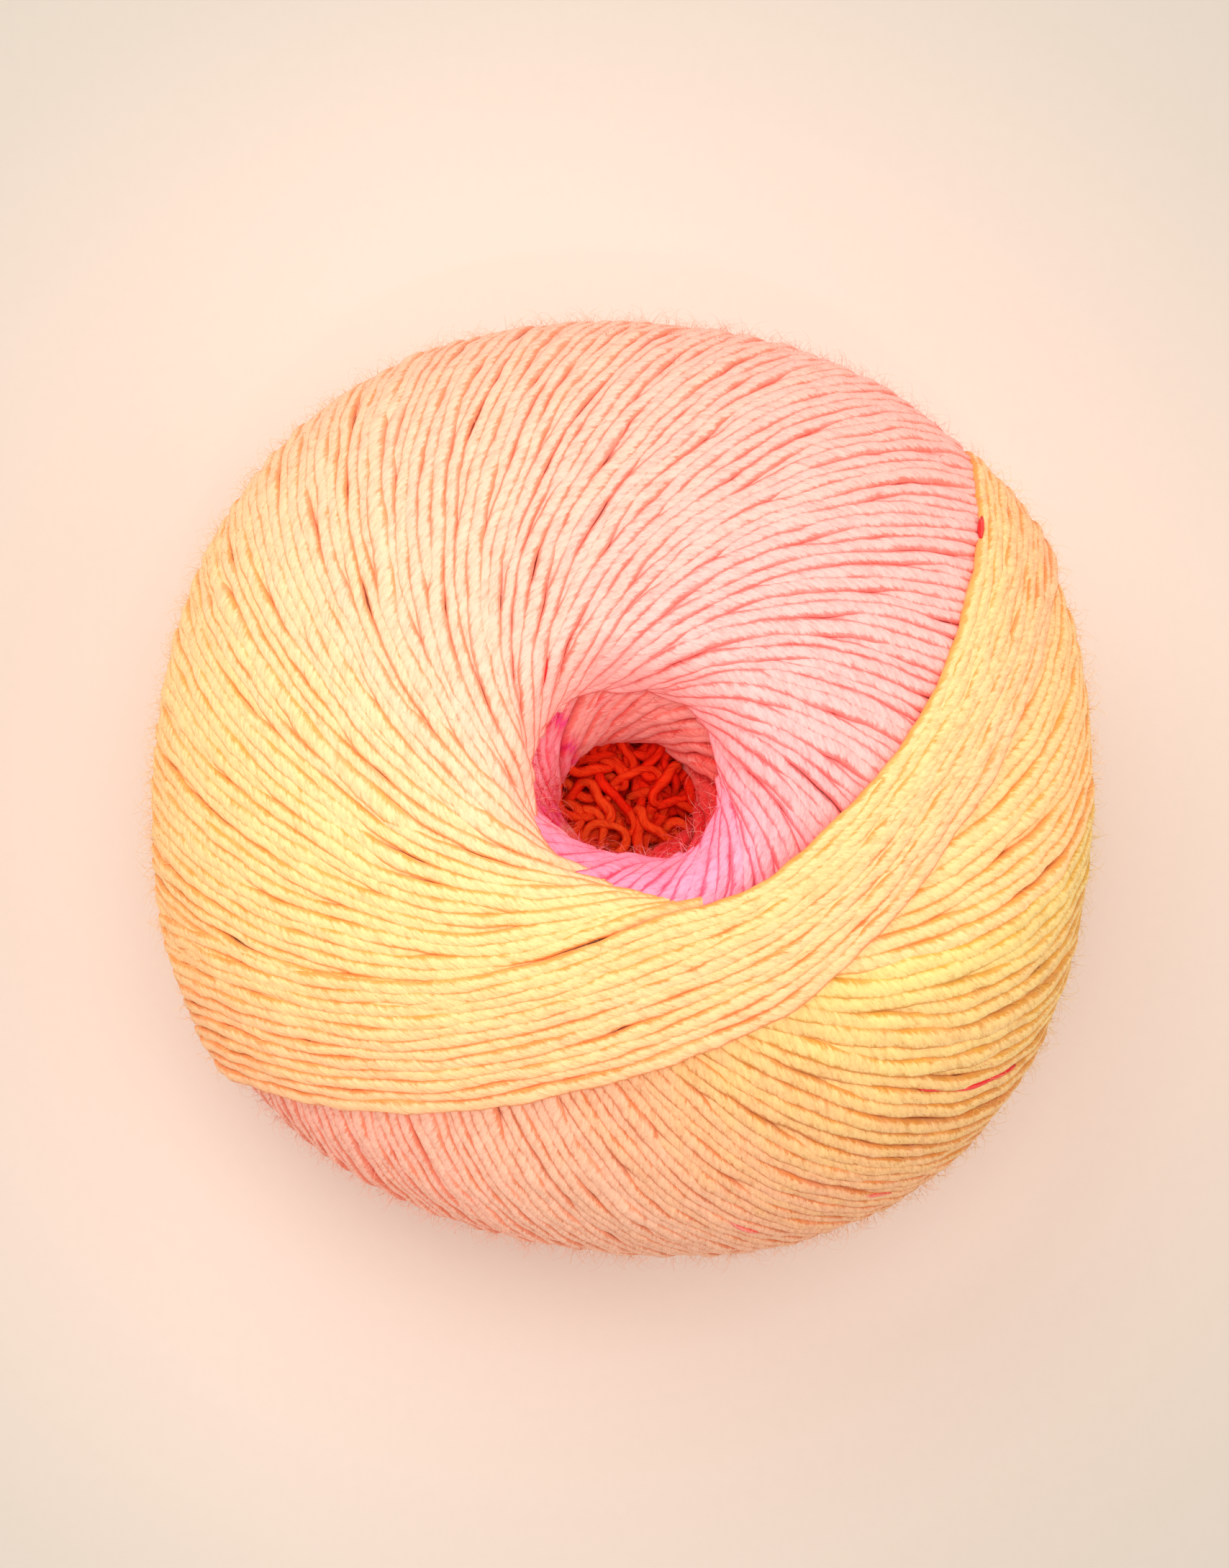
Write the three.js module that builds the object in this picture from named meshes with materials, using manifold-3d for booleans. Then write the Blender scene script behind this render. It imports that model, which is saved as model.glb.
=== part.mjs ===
// A machine-wound ball of soft gradient yarn with a centre-pull hole, standing on its flattened base.
// Units are millimetres and degrees, +Z is up, and the origin is the middle of the flat spot it rests on.
// Every turn of the yarn climbs one side, passes beside the hole on top, and goes down the other side.
// The turns precess about the ball's axis, so they lie in two families that spiral opposite ways.

import * as THREE from "three";
import { mergeVertices } from "three/addons/utils/BufferGeometryUtils.js";
import Module from "manifold-3d";

const wasm = await Module();
wasm.setup();

// Driving sizes of the wound form
const ballWidth = 110;
const equatorHeight = 41;
const crownHeight = 45;
const baseDepth = 43.5;
const profilePower = 2.3;

// How the outline, seen from above, departs from a circle: share of the mean radius, and where the bulges are
const meanRadius = 0.505 * ballWidth;
const outlineWaves = [
  { bulges: 1, share: 0.014, at: -7 },
  { bulges: 2, share: 0.006, at: -16 },
  { bulges: 3, share: 0.008, at: -51 },
  { bulges: 4, share: 0.021, at: 41 },
];

// The funnel where the turns dip to the hole, as shares of the outline's radius
const shoulder = 0.31;
const throat = 0.165;
const funnelDip = 12;
const craterFloor = 58;

// The layers: how much one whole precession adds and how much of it stands outside the mean form, the ridges
// of the bundled turns, and the sag of hidden ends
const layerGrowth = 3.2;
const outerPart = 0.2;
const ridgeHeight = 1.1;
const ridges = 36;
const hiddenDip = 4;

// One row for each family: sense of its spiral, closest approach to the axis above and below, spiral slope,
// where the youngest turn passes the hole, and how far out its hidden upper ends are sunk
const families = {
  rising: { sense: -1, above: 0.165, below: 0.16, slope: 0.63, youngest: 300, sunkTo: 0 },
  falling: { sense: 1, above: 0.34, below: 0.16, slope: 0.8, youngest: 303, sunkTo: 0.5 },
};
const drift = 0.08;
const stepsAbove = 12;
const stepsBelow = 6;

// The last wrap crosses over the top as a raised band. Its two edges, from the lower left to the upper right
const bandEdges = [
  { edge: "outer", nearest: 0.52, passes: 307, leftEnd: 216, rightEnd: 390, leftLift: 1, rightLift: 0.9 },
  { edge: "inner", nearest: 0.3, passes: 293, leftEnd: 197, rightEnd: 404, leftLift: 0.3, rightLift: 1.1 },
];
const bandLift = 1.9;
const bandRoot = 3;
const bandBundles = 4;
const bandBundleRidge = 0.9;
const bandSteps = 18;
const bandReach = 112;

// The hole leans as it goes down, because the spindle was pulled out to one side
const holeTop = { radius: 9.5, x: 0, y: 0, z: 90 };
const holeFloor = { radius: 8.2, x: 1.2, y: -2.8, z: 50 };
const holeThroatHeight = 73;
const holeFlutes = 20;
const holeFluteDepth = 0.5;

// The crumpled start of the yarn, loose in the bottom of the hole
const seatGap = 0.3;
const tangleHeight = 9;
const tangleYarn = 0.95;
const tangleLoops = [
  { x: -3.4, y: 2.2, rise: 0.2, radius: 2.3, lean: 20, turn: 30 },
  { x: 2.6, y: 3.0, rise: 0.5, radius: 2.6, lean: 35, turn: 110 },
  { x: 3.4, y: -2.2, rise: 0.1, radius: 2.4, lean: 25, turn: 200 },
  { x: -2.2, y: -3.2, rise: 0.4, radius: 2.5, lean: 40, turn: 290 },
  { x: 0.2, y: 0.1, rise: 1.0, radius: 2.2, lean: 30, turn: 60 },
];

const radians = THREE.MathUtils.degToRad;

function outlineRadius(azimuth) {
  const uneven = outlineWaves.map((w) => w.share * Math.cos(w.bulges * radians(azimuth - w.at)));
  return meanRadius * (1 + uneven.reduce((sum, share) => sum + share, 0));
}

// Share of the radius at a polar angle: 0 on the axis, 90 degrees at the equator
function shareAt(polar) {
  return Math.pow(Math.sin(radians(Math.min(polar, 180 - polar))), 2 / profilePower);
}

function polarOf(share) {
  return THREE.MathUtils.radToDeg(Math.asin(Math.pow(share, profilePower / 2)));
}

// How far the funnel lowers the crown at a share of the radius
function funnelDrop(share) {
  const into = THREE.MathUtils.clamp((shoulder - share) / (shoulder - throat), 0, 1);
  return funnelDip * (1 - Math.sqrt(1 - into * into));
}

// A point of the wound form, raised along its outward normal
function surfacePoint(azimuth, polar, lift, sunk = 0) {
  const share = shareAt(polar);
  const radius = outlineRadius(azimuth);
  const side = polar <= 90 ? 1 : -1;
  const halfHeight = side > 0 ? crownHeight : baseDepth;
  const rise = Math.pow(Math.max(0, 1 - Math.pow(share, profilePower)), 1 / profilePower);
  const out = Math.pow(share, profilePower - 1) / radius;
  const up = Math.pow(rise, profilePower - 1) / halfHeight;
  const length = Math.hypot(out, up);
  const r = share * radius + (lift * out) / length;
  const top = side > 0 ? funnelDrop(share) + sunk : 0;
  const z = equatorHeight + side * (rise * halfHeight + (lift * up) / length) - top;
  return new THREE.Vector3(r * Math.cos(radians(azimuth)), r * Math.sin(radians(azimuth)), z);
}

// Degrees that a half turn sweeps about the axis between its closest approach and a polar angle
function swept(polar, nearest, slope) {
  const share = Math.max(shareAt(polar), nearest);
  const spiral = THREE.MathUtils.radToDeg(slope * Math.acosh(share / nearest));
  return spiral + drift * (Math.min(polar, 180 - polar) - polarOf(nearest));
}

// Points along a half turn: from its closest approach on top, over the equator, to the one underneath
function halfTurn({ sense, above, below, slope, sunkTo }, passes, lift) {
  const points = [];
  const toEquator = swept(90, above, slope);
  const fromEquator = swept(90, below, slope);
  for (let i = 0; i <= stepsAbove; i++) {
    const polar = THREE.MathUtils.lerp(polarOf(above), 90, (i / stepsAbove) ** 1.6);
    const sunk = hiddenDip * Math.max(0, 1 - shareAt(polar) / Math.max(sunkTo, 1e-6));
    points.push(surfacePoint(passes + sense * swept(polar, above, slope), polar, lift, sunkTo ? sunk : 0));
  }
  for (let i = 1; i <= stepsBelow; i++) {
    const polar = THREE.MathUtils.lerp(90, 180 - polarOf(below), 1 - (1 - i / stepsBelow) ** 1.3);
    const sweep = toEquator + fromEquator - swept(polar, below, slope);
    points.push(surfacePoint(passes + sense * sweep, polar, lift));
  }
  return points;
}

// Closes a ring of columns, each a list of points, with a point on the axis inside the hole and one underneath
function closedShell(columns) {
  const rows = columns[0].length;
  const [top, bottom] = [columns.length * rows, columns.length * rows + 1];
  const points = [...columns.flat(), new THREE.Vector3(0, 0, craterFloor), new THREE.Vector3(0, 0, -baseDepth / 4)];
  const faces = [];
  columns.forEach((_, c) => {
    const here = c * rows;
    const next = ((c + 1) % columns.length) * rows;
    faces.push([top, next, here]);
    faces.push([bottom, here + rows - 1, next + rows - 1]);
    for (let row = 0; row < rows - 1; row++) {
      faces.push([here + row, next + row + 1, here + row + 1]);
      faces.push([here + row, next + row, next + row + 1]);
    }
  });
  return solidOf(points, faces);
}

function solidOf(points, faces) {
  const vertProperties = new Float32Array(points.flatMap((p) => [p.x, p.y, p.z]));
  const triVerts = new Uint32Array(faces.flat());
  return new wasm.Manifold(new wasm.Mesh({ numProp: 3, vertProperties, triVerts }));
}

function solidFrom(geometry) {
  const bare = geometry.index ? geometry.toNonIndexed() : geometry.clone();
  bare.deleteAttribute("normal");
  bare.deleteAttribute("uv");
  const merged = mergeVertices(bare, 1e-4);
  const corners = merged.index.array;
  const kept = [];
  for (let i = 0; i < corners.length; i += 3) {
    const [a, b, c] = corners.slice(i, i + 3);
    if (a !== b && b !== c && c !== a) kept.push(a, b, c);
  }
  const vertProperties = new Float32Array(merged.attributes.position.array);
  return new wasm.Manifold(new wasm.Mesh({ numProp: 3, vertProperties, triVerts: new Uint32Array(kept) }));
}

function meshOf(name, solid, material) {
  const { vertProperties, triVerts } = solid.getMesh();
  const geometry = new THREE.BufferGeometry();
  geometry.setAttribute("position", new THREE.BufferAttribute(vertProperties, 3));
  geometry.setIndex(new THREE.BufferAttribute(triVerts, 1));
  geometry.computeVertexNormals();
  const mesh = new THREE.Mesh(geometry, material);
  mesh.name = name;
  return mesh;
}

// One family of turns as a snail-shaped shell: the older a turn, the lower it lies
function familyShell(family) {
  const count = 2 * ridges;
  const columns = [];
  for (let c = 0; c < count; c++) {
    const age = c / count;
    const ridge = c % 2 ? -0.5 : 0.5;
    const lift = layerGrowth * (outerPart - age) + ridge * ridgeHeight;
    columns.push(halfTurn(family, family.youngest - 360 * age, lift));
  }
  return closedShell(columns);
}

// A point on an edge of the last wrap: along runs from -1 at the left end, through 0 beside the hole, to 1
function bandPlace({ nearest, passes, leftEnd, rightEnd }, along) {
  const sweep = along < 0 ? passes - leftEnd : rightEnd - passes;
  const slope = radians(sweep - drift * (90 - polarOf(nearest))) / Math.acosh(1 / nearest);
  const polar = polarOf(nearest) + (bandReach - polarOf(nearest)) * Math.abs(along) ** 1.6;
  const flat = swept(polar, nearest, slope);
  const turned = polar <= 90 ? flat : 2 * swept(90, nearest, slope) - flat;
  return { azimuth: passes + Math.sign(along) * turned, polar };
}

// The band is a strip of ridged bundles, rooted in the ball, and thin where it joins the older turns
function lastWrap() {
  const [outer, inner] = bandEdges;
  const across = 2 * bandBundles + 1;
  const upper = [];
  const lower = [];
  for (let i = 0; i <= 2 * bandSteps; i++) {
    const along = (i - bandSteps) / bandSteps;
    const [a, b] = [bandPlace(outer, along), bandPlace(inner, along)];
    const side = THREE.MathUtils.smoothstep(along, -0.35, 0.25);
    const fade = 1 - THREE.MathUtils.smoothstep(Math.abs(along), 0.6, 1);
    const outerLift = THREE.MathUtils.lerp(outer.leftLift, outer.rightLift, side);
    const innerLift = THREE.MathUtils.lerp(inner.leftLift, inner.rightLift, side);
    for (let j = 0; j < across; j++) {
      const share = j / (across - 1);
      const azimuth = THREE.MathUtils.lerp(a.azimuth, b.azimuth, share);
      const polar = THREE.MathUtils.lerp(a.polar, b.polar, share);
      const crown = THREE.MathUtils.lerp(outerLift, innerLift, share) * bandLift;
      const ridge = j % 2 ? bandBundleRidge : 0;
      upper.push(surfacePoint(azimuth, polar, THREE.MathUtils.lerp(-bandRoot / 2, crown + ridge, fade)));
      lower.push(surfacePoint(azimuth, polar, -bandRoot - 0.5));
    }
  }
  return stripSolid(upper, lower, across);
}

function stripSolid(upper, lower, across) {
  const under = upper.length;
  const rows = upper.length / across;
  const faces = [];
  const quad = (a, b, c, d) => faces.push([a, b, c], [a, c, d]);
  for (let i = 0; i < rows - 1; i++) {
    for (let j = 0; j < across - 1; j++) {
      const at = i * across + j;
      quad(at, at + across, at + across + 1, at + 1);
      quad(under + at, under + at + 1, under + at + across + 1, under + at + across);
    }
    const [left, right] = [i * across, (i + 1) * across - 1];
    quad(left, under + left, under + left + across, left + across);
    quad(right, right + across, under + right + across, under + right);
  }
  for (let j = 0; j < across - 1; j++) {
    const last = (rows - 1) * across + j;
    quad(j, j + 1, under + j + 1, under + j);
    quad(last, under + last, under + last + 1, last + 1);
  }
  return solidOf([...upper, ...lower], faces);
}

// A leaning, fluted plug: the space of the hole when it is cut away, and the tangle's foot when it is kept
function leaningPlug(fromHeight, toHeight, clearance, slices) {
  const profile = [new THREE.Vector2(0, 0)];
  for (let i = 0; i <= slices; i++) profile.push(new THREE.Vector2(1, i / slices));
  profile.push(new THREE.Vector2(0, 1));
  const geometry = new THREE.LatheGeometry(profile, 2 * holeFlutes);
  const position = geometry.attributes.position;
  for (let i = 0; i < position.count; i++) {
    const [x, share, y] = [position.getX(i), position.getY(i), -position.getZ(i)];
    const z = THREE.MathUtils.lerp(fromHeight, toHeight, share);
    const depth = THREE.MathUtils.clamp((z - holeFloor.z) / (holeThroatHeight - holeFloor.z), 0, 1);
    const column = Math.round((Math.atan2(y, x) / Math.PI) * holeFlutes);
    const flute = (column % 2 ? -1 : 0) * holeFluteDepth;
    const radius = THREE.MathUtils.lerp(holeFloor.radius, holeTop.radius, depth) + flute - clearance;
    const twist = radians(-25) * (1 - depth);
    const [c, s] = [Math.cos(twist), Math.sin(twist)];
    const centreX = THREE.MathUtils.lerp(holeFloor.x, holeTop.x, depth);
    const centreY = THREE.MathUtils.lerp(holeFloor.y, holeTop.y, depth);
    position.setXYZ(i, centreX + radius * (c * x - s * y), centreY + radius * (s * x + c * y), z);
  }
  return solidFrom(geometry);
}

function woundBall() {
  const turns = familyShell(families.rising).add(familyShell(families.falling));
  const hole = leaningPlug(holeFloor.z, holeTop.z, 0, 8);
  const block = new THREE.BoxGeometry(2 * ballWidth, 2 * ballWidth, baseDepth);
  const belowBase = solidFrom(block.translate(0, 0, -baseDepth / 2));
  return turns.add(lastWrap()).subtract(hole).subtract(belowBase);
}

function tangledStart() {
  const foot = holeFloor.z + seatGap;
  const top = foot + tangleHeight;
  let tangle = leaningPlug(foot, top, seatGap, 2);
  for (const { x, y, rise, radius, lean, turn } of tangleLoops) {
    const loop = new THREE.TorusGeometry(radius, tangleYarn, 6, 14);
    loop.rotateX(radians(lean)).rotateZ(radians(turn));
    loop.translate(holeFloor.x + x * 0.8, holeFloor.y + y * 0.8, top + rise);
    tangle = tangle.add(solidFrom(loop));
  }
  return tangle;
}

const woundYarn = new THREE.MeshStandardMaterial({ color: "#f7c08f", roughness: 0.9, metalness: 0 });
const innerYarn = new THREE.MeshStandardMaterial({ color: "#c8452a", roughness: 0.92, metalness: 0 });

const yarnCake = new THREE.Group();
yarnCake.add(meshOf("wound_ball", woundBall(), woundYarn));
yarnCake.add(meshOf("tangled_start", tangledStart(), innerYarn));

export default yarnCake;
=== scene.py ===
import math

import bmesh
import bpy
import numpy as np
from mathutils import Matrix, Vector


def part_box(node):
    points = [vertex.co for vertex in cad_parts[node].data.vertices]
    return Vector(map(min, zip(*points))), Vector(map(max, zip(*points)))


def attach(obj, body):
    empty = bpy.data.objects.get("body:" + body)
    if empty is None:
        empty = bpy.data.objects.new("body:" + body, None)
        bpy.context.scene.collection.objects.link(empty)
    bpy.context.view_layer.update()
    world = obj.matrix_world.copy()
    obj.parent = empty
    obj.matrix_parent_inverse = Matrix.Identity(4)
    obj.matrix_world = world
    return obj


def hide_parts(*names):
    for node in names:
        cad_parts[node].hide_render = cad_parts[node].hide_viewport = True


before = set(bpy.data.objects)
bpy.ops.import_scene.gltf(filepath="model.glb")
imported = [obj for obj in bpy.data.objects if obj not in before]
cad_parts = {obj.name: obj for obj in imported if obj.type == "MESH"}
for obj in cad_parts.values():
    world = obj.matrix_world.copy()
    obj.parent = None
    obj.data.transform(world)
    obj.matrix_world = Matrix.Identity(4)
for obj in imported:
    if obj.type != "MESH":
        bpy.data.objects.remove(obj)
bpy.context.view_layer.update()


# The heart of the ball
# Under the turns that show lie all the earlier ones, of the same soft wool. They were wound on a spindle,
# which was pulled out and left a well. They show only as a warm tone between the strands, so here they are
# one soft body just under those turns, coloured with painted shade: the deeper tone given to creases.

MM = 0.001
BALL_LOW, BALL_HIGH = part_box("wound_ball")
BALL_WIDTH = 0.5 * (BALL_HIGH[0] - BALL_LOW[0] + BALL_HIGH[1] - BALL_LOW[1])
# Mean radius of the form that the middles of the strands follow
MEAN_RADIUS = 0.5027 * BALL_WIDTH
EQUATOR = 41 * MM
CROWN = 45 * MM
BASE_DEPTH = 43.5 * MM
PROFILE_POWER = 2.3
# Low waves of the outline: how many round it, share of the radius, and azimuth of a crest
OUTLINE_WAVES = ((1, 0.018, 4.5), (2, 0.007, -59), (3, 0.008, -51), (4, 0.021, 41))
# Between these shares of the radius the top dips to the well: how deep, and how far strands face the hole
SHOULDER, THROAT, FUNNEL_DIP, FUNNEL_TILT = 0.31, 0.165, 12 * MM, 0.9
# Height of a strand's middle where the ball is pressed flat underneath
PRESSED_HEIGHT = 1.1 * MM


def outline_radius(azimuth):
    """Radius of the ball's outline at an azimuth in degrees."""
    wave = sum(share * np.cos(np.radians(n * (azimuth - at))) for n, share, at in OUTLINE_WAVES)
    return MEAN_RADIUS * (1 + wave)


def form_point(azimuth, share, below, lift):
    """Points of the form at a share of its radius, above or below the equator, raised along the normal.
    Gives the points and which way the surface faces there."""
    radius = outline_radius(azimuth)
    half = np.where(below, BASE_DEPTH, CROWN)
    share = np.clip(share, 1e-4, 1)
    rise = np.clip(1 - share**PROFILE_POWER, 0, 1) ** (1 / PROFILE_POWER)
    out = share ** (PROFILE_POWER - 1) / radius
    up = rise ** (PROFILE_POWER - 1) / half
    length = np.hypot(out, up)
    side = np.where(below, -1.0, 1.0)
    into = np.clip((SHOULDER - share) / (SHOULDER - THROAT), 0, 1)
    dip = np.where(below, 0, FUNNEL_DIP * (1 - np.sqrt(1 - into**2)))
    r = share * radius + lift * out / length
    z = np.maximum(EQUATOR + side * (rise * half + lift * up / length) - dip, PRESSED_HEIGHT)
    turn = np.radians(azimuth)
    points = np.stack([r * np.cos(turn), r * np.sin(turn), z], -1)
    slope = np.where(below, 0, np.clip(into, 0, FUNNEL_TILT))
    facing = np.stack([out * np.cos(turn), out * np.sin(turn), side * up], -1) / length[..., None]
    inward = np.stack([-np.cos(turn), -np.sin(turn), 0 * turn], -1)
    facing = facing + inward * slope[..., None]
    return points, facing / np.linalg.norm(facing, axis=-1, keepdims=True)


# Turns are told apart by their age: degrees of winding between them and the end of the yarn
LAYER_GROWTH = 3.2 * MM
OUTER_PART = 0.2
# Azimuths at which the newest rising and falling turns leave the top, at the edge share of the radius.
# Further in they lie more degrees round, by their share
LEFT_END, RIGHT_END = 219, 24
EDGE_SHARE = 0.93
LEFT_EDGE = ((0.3, 0.46, 0.68, EDGE_SHARE), (53, 29, 16, 0))
RIGHT_EDGE = ((0.46, 0.68, EDGE_SHARE), (40, 17, 0))
FALLING_HEAD_START = 19
# Within this share the falling turns are buried under the rising ones
FALLING_HIDDEN = 0.5
# How near to the hole the rising turns come, as a share of the radius by their age
NEAREST_AGES = (0, 19, 43, 68, 129, 223, 313, 345, 375, 410, 450)
NEAREST_SHARES = (0.50, 0.30, 0.27, 0.25, 0.225, 0.185, 0.20, 0.213, 0.202, 0.187, 0.205)


def turn_lift(age):
    """How far off the mean form a turn lies: each round of turns lies on the one before."""
    return LAYER_GROWTH * (OUTER_PART - age / 360)


def visible_age(azimuth, share):
    """Age of the turn that shows at a place on the form."""
    rising = (LEFT_END + np.interp(share, *LEFT_EDGE) - azimuth) % 360
    falling = (RIGHT_END - np.interp(share, *RIGHT_EDGE) - azimuth) % 360
    older = rising + np.where(share < np.interp(rising, NEAREST_AGES, NEAREST_SHARES), 360, 0)
    return np.where(share < FALLING_HIDDEN, older, np.minimum(rising, falling + FALLING_HEAD_START))


HEART_GAP = 1.0 * MM
HEART_STEPS = 144
# Its dye is that of turns which are a little older, and the lining of the well is red; the material deepens
# all of it into painted shade
HEART_OLDER, WELL_AGE = 12, 500
# Round the outside it keeps under the oldest turns within a few degrees, and underneath under all of them
HEART_OUTSIDE = 0.95
HEART_REACH = (-12, 0, 12)
OLDEST_UNDERNEATH = ((0.8, 1.0), (380, 0))
HEART_SHARES_BELOW = (0.06, 0.14, 0.22, 0.3, 0.4, 0.5, 0.6, 0.7, 0.8, 0.88, 0.94, 0.98, 0.996, 1.0)
HEART_SHARES_ABOVE = (0.996, 0.98, 0.94, 0.88, 0.8, 0.72, 0.64, 0.56, 0.5, 0.45, 0.4, 0.36, 0.33)
# Height and radius of the well's lining, from behind the rim to the bottom
WELL_PROFILE = ((76.5, 15.6), (74.5, 13.6), (71, 12.4), (66, 11.6), (60, 11.0), (57.5, 10.7), (56, 10.0))
WELL_TOP, WELL_FLOOR, WELL_BED = 73 * MM, 50 * MM, 56.4 * MM
WELL_LEAN = (1.2 * MM, -2.8 * MM)
# Height of the heart's own flat underside, which is hidden in the strands there
HEART_BASE = 2.0 * MM


def well_centre(z):
    """Middle of the leaning well at a height."""
    depth = np.clip((WELL_TOP - z) / (WELL_TOP - WELL_FLOOR), 0, 1.2)
    return WELL_LEAN[0] * depth, WELL_LEAN[1] * depth


def new_object(name, data):
    made = bpy.data.objects.new(name, data)
    bpy.context.scene.collection.objects.link(made)
    return made


def heart_mesh():
    """The form's profile spun round, then let down everywhere to just under the turns that show there."""
    bm = bmesh.new()
    front = outline_radius(0.0)
    chain = [bm.verts.new((0, 0, HEART_BASE))]
    for shares, below in ((HEART_SHARES_BELOW, True), (HEART_SHARES_ABOVE, False)):
        for share in shares:
            side = -1 if below else 1
            chain.append(bm.verts.new((share * front, 0, EQUATOR + side * (1 - share) * CROWN)))
    for z, radius in WELL_PROFILE:
        chain.append(bm.verts.new((radius * MM, 0, z * MM)))
    chain.append(bm.verts.new((0, 0, WELL_BED)))
    edges = [bm.edges.new(pair) for pair in zip(chain, chain[1:])]
    bmesh.ops.spin(bm, geom=chain + edges, axis=(0, 0, 1), cent=(0, 0, 0), steps=HEART_STEPS,
                   angle=2 * math.pi, use_merge=True)
    bmesh.ops.remove_doubles(bm, verts=bm.verts, dist=1e-6)
    dye = bm.verts.layers.float.new("dye")
    for vert in bm.verts:
        reach = math.hypot(vert.co.x, vert.co.y)
        share = np.array(reach / front)
        azimuth = np.array(math.degrees(math.atan2(vert.co.y, vert.co.x)))
        below = vert.co.z <= EQUATOR
        steps = HEART_REACH if below or share > HEART_OUTSIDE else (0,)
        age = max(visible_age(azimuth + step, share) for step in steps)
        if below:
            age = max(age, np.interp(share, *OLDEST_UNDERNEATH))
        if not below and share < HEART_SHARES_ABOVE[-1] - 0.01:
            dx, dy = well_centre(vert.co.z)
            vert.co += Vector((dx, dy, 0))
            vert[dye] = WELL_AGE / DYE_LENGTH
        elif reach > 1e-5:
            spot, _ = form_point(azimuth, share, np.array(below), turn_lift(age) - HEART_GAP)
            vert.co = Vector((spot[0], spot[1], max(spot[2], HEART_BASE)))
            vert[dye] = (age + HEART_OLDER) / DYE_LENGTH
    bmesh.ops.recalc_face_normals(bm, faces=bm.faces)
    for face in bm.faces:
        face.smooth = True
    mesh = bpy.data.meshes.new("wound_heart")
    bm.to_mesh(mesh)
    bm.free()
    return new_object("wound_heart", mesh)


def linear(red, green, blue):
    """A colour as seen on a screen, as the linear light that a shader takes."""
    values = [c / 255 for c in (red, green, blue)]
    return tuple(c / 12.92 if c <= 0.04045 else ((c + 0.055) / 1.055) ** 2.4 for c in values) + (1,)


# The dye, from the last turn of the yarn back to the first: age, and the wool's colour as on a screen
DYE_STOPS = (
    (0, (253, 194, 143)),
    (12, (253, 200, 140)),
    (26, (253, 206, 142)),
    (52, (253, 208, 146)),
    (74, (253, 205, 159)),
    (96, (253, 200, 166)),
    (125, (253, 194, 170)),
    (155, (253, 187, 172)),
    (190, (253, 183, 175)),
    (235, (253, 181, 176)),
    (280, (253, 169, 170)),
    (310, (253, 164, 180)),
    (340, (253, 156, 186)),
    (370, (253, 146, 176)),
    (392, (253, 168, 180)),
    (401, (253, 124, 144)),
    (410, (242, 60, 146)),
    (418, (253, 136, 148)),
    (434, (253, 182, 172)),
    (456, (252, 120, 106)),
    (478, (236, 38, 42)),
    (520, (240, 22, 9)),
    (552, (236, 48, 14)),
    (590, (238, 98, 38)),
    (602, (238, 98, 38)),
    # The falling turns in front, a little more orange and darker: painted shade, as less light falls on the
    # lower right
    (612, (241, 209, 132)),
    (640, (241, 209, 132)),
    (660, (236, 187, 124)),
    (680, (240, 180, 137)),
    (700, (243, 186, 154)),
    (720, (250, 192, 164)),
    (740, (253, 185, 164)),
)
DYE_LENGTH = 760


def new_material(name):
    """A new material, and its node tree, which is still empty."""
    material = bpy.data.materials.new(name)
    material.use_nodes = True
    material.node_tree.nodes.clear()
    return material, material.node_tree


def feed(tree, made, inputs):
    """Sets or links a node's inputs by name, where an underscore stands for a space, or by number."""
    for key, value in inputs.items():
        socket = made.inputs[int(key[1:])] if key[1:].isdigit() else made.inputs[key.replace("_", " ")]
        if isinstance(value, bpy.types.NodeSocket):
            tree.links.new(value, socket)
        else:
            socket.default_value = value
    return made


def node(tree, kind, **inputs):
    return feed(tree, tree.nodes.new(kind), inputs)


def group_node(tree, group, **inputs):
    made = tree.nodes.new("ShaderNodeGroup")
    made.node_tree = group
    return feed(tree, made, inputs)


def math_node(tree, operation, a, b=0.0, c=0.0):
    made = node(tree, "ShaderNodeMath", _0=a, _1=b, _2=c)
    made.operation = operation
    return made.outputs[0]


def mix_colour(tree, share, first, second):
    """Mixes two colours, which are the node's seventh and eighth inputs and its third output."""
    made = tree.nodes.new("ShaderNodeMix")
    made.data_type = "RGBA"
    return feed(tree, made, {"_0": share, "_6": first, "_7": second}).outputs[2]


def noise(tree, place, scale, detail, roughness=0.5):
    made = node(tree, "ShaderNodeTexNoise", Vector=place, Scale=scale, Detail=detail, Roughness=roughness)
    return made.outputs[0]


def surface(tree, **inputs):
    """The material's own shader, with its output."""
    shader = node(tree, "ShaderNodeBsdfPrincipled", **inputs)
    output = tree.nodes.new("ShaderNodeOutputMaterial")
    tree.links.new(shader.outputs[0], output.inputs[0])


def dye_group():
    """The dye's colour at an age, a little uneven along the strand and from strand to strand."""
    group = bpy.data.node_groups.new("gradient_dye", "ShaderNodeTree")
    for key in ("Dye", "Mottle", "Unevenness"):
        group.interface.new_socket(key, in_out="INPUT", socket_type="NodeSocketFloat")
    group.interface.new_socket("Colour", in_out="OUTPUT", socket_type="NodeSocketColor")
    enter = group.nodes.new("NodeGroupInput")
    leave = group.nodes.new("NodeGroupOutput")
    centred = math_node(group, "SUBTRACT", enter.outputs["Mottle"], 0.5)
    uneven = math_node(group, "MULTIPLY_ADD", centred, enter.outputs["Unevenness"], enter.outputs["Dye"])
    ramp = node(group, "ShaderNodeValToRGB", Fac=uneven)
    elements = ramp.color_ramp.elements
    for spare in range(len(DYE_STOPS) - 2):
        elements.new((spare + 1) / len(DYE_STOPS))
    for element, (degrees, colour) in zip(elements, DYE_STOPS):
        element.position = degrees / DYE_LENGTH
        element.color = linear(*colour)
    group.links.new(ramp.outputs[0], leave.inputs["Colour"])
    return group


GRADIENT_DYE = dye_group()
# Painted shade: creases and hollows are given a deeper tone, the dye's colour to this power
CREASE_SHADE_GAMMA = 2.0


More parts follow.
